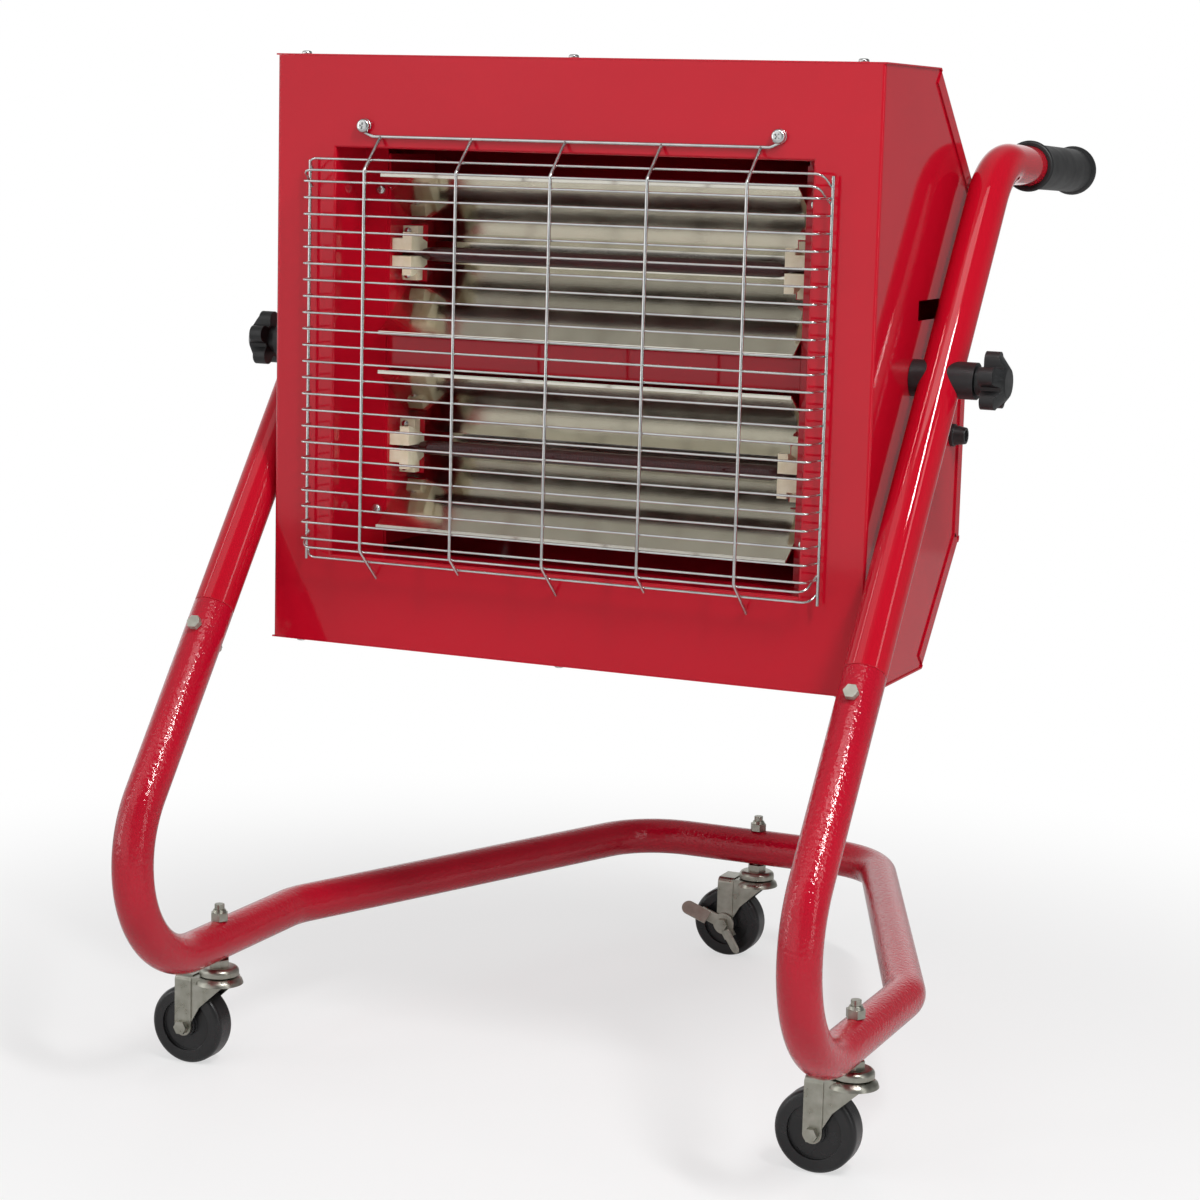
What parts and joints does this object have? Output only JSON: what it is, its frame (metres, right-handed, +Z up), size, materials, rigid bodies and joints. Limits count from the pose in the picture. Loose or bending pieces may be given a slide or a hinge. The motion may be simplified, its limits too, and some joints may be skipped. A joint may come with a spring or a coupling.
{
  "type": "infrared halogen heater",
  "caption": "Wheeled infrared heater: ruby halogen lamps behind a chromed wire guard in a red steel cabinet that tilts between the legs of a bent-tube stand with grips.",
  "frame": {"origin": "on the floor, under the middle of the heater's bounding box", "axes": "+Z up, the lamps face -Y, +X to the right seen from the front"},
  "size_m": [0.6488, 0.673, 0.8098],
  "materials": {
    "red_gloss": "gloss",
    "red_textured": "satin",
    "chrome_wire": "polished",
    "zinc_steel": "satin",
    "reflector": "polished",
    "ruby_glass": "gloss",
    "ceramic": "matte",
    "black_rubber": "matte",
    "black_plastic": "matte"
  },
  "bodies": {
    "stand": {"base_frame": "red_textured", "left_upper_tube": "red_gloss", "right_upper_tube": "red_gloss", "left_grip": "black_rubber", "right_grip": "black_rubber", "joint_bolts": "zinc_steel", "joint_nuts": "zinc_steel", "inner_saddles": "black_plastic", "outer_saddles": "black_plastic", "caster_stems": "zinc_steel", "caster_nuts": "zinc_steel"},
    "head": {"front_shell": "red_gloss", "left_side_panel": "red_gloss", "right_side_panel": "red_gloss", "rear_cover": "red_gloss", "cabinet_screws": "chrome_wire", "guard": "chrome_wire", "guard_screws": "chrome_wire", "left_end_bracket": "red_gloss", "right_end_bracket": "red_gloss", "bracket_screws": "chrome_wire", "centre_strip": "red_gloss", "upper_reflector": "reflector", "lower_reflector": "reflector", "upper_lamp": "ruby_glass", "lower_lamp": "ruby_glass", "lamp_holders": "ceramic", "holder_screws": "chrome_wire", "pivot_studs": "zinc_steel", "cable_gland": "black_plastic", "gland_nut": "black_plastic", "switch_housings": "black_plastic", "terminal_block": "ceramic", "tip_switch": "black_plastic"},
    "left_clamp": {"left_knob": "black_plastic"},
    "right_clamp": {"right_knob": "black_plastic"},
    "upper_lamp_switch": {"upper_lamp_rocker": "black_plastic"},
    "lower_lamp_switch": {"lower_lamp_rocker": "black_plastic"},
    "front_left_caster": {"front_left_fork": "zinc_steel", "front_left_axle": "zinc_steel"},
    "front_left_roller": {"front_left_wheel": "black_plastic"},
    "front_right_caster": {"front_right_fork": "zinc_steel", "front_right_axle": "zinc_steel"},
    "front_right_roller": {"front_right_wheel": "black_plastic"},
    "rear_caster": {"rear_fork": "zinc_steel", "rear_axle": "zinc_steel"},
    "rear_roller": {"rear_wheel": "black_plastic"},
    "brake": {"brake_lever": "zinc_steel"}
  },
  "joints": [
    {"name": "head_tilt", "type": "hinge", "parent": "stand", "child": "head", "pos_m": [0, -0.05496, 0.57724], "axis": [-1, 0, 0], "range_deg": [-30, 45]},
    {"name": "left_knob_turn", "type": "hinge", "parent": "head", "child": "left_clamp", "pos_m": [-0.3095, -0.05496, 0.57724], "axis": [-1, 0, 0], "range_deg": [0, 360]},
    {"name": "right_knob_turn", "type": "hinge", "parent": "head", "child": "right_clamp", "pos_m": [0.3095, -0.05496, 0.57724], "axis": [1, 0, 0], "range_deg": [0, 360]},
    {"name": "upper_lamp_rock", "type": "hinge", "parent": "head", "child": "upper_lamp_switch", "pos_m": [-0.03, 0.07504, 0.49724], "axis": [-1, 0, 0], "range_deg": [0, 16]},
    {"name": "lower_lamp_rock", "type": "hinge", "parent": "head", "child": "lower_lamp_switch", "pos_m": [0.03, 0.07504, 0.49724], "axis": [-1, 0, 0], "range_deg": [0, 16]},
    {"name": "front_left_swivel", "type": "hinge", "parent": "stand", "child": "front_left_caster", "pos_m": [-0.2695, -0.19397, 0.1045], "axis": [0, 0, 1], "continuous": true},
    {"name": "front_left_roll", "type": "hinge", "parent": "front_left_caster", "child": "front_left_roller", "pos_m": [-0.2945, -0.19397, 0.032], "axis": [0, 1, 0], "continuous": true},
    {"name": "front_right_swivel", "type": "hinge", "parent": "stand", "child": "front_right_caster", "pos_m": [0.2695, -0.19397, 0.1045], "axis": [0, 0, 1], "continuous": true},
    {"name": "front_right_roll", "type": "hinge", "parent": "front_right_caster", "child": "front_right_roller", "pos_m": [0.2445, -0.19397, 0.032], "axis": [0, 1, 0], "continuous": true},
    {"name": "rear_swivel", "type": "hinge", "parent": "stand", "child": "rear_caster", "pos_m": [0, 0.31203, 0.1045], "axis": [0, 0, 1], "continuous": true},
    {"name": "rear_roll", "type": "hinge", "parent": "rear_caster", "child": "rear_roller", "pos_m": [-0.025, 0.31203, 0.032], "axis": [0, 1, 0], "continuous": true},
    {"name": "brake_press", "type": "hinge", "parent": "rear_caster", "child": "brake", "pos_m": [-0.025, 0.31203, 0.032], "axis": [0, -1, 0], "range_deg": [0, 14]}
  ]
}
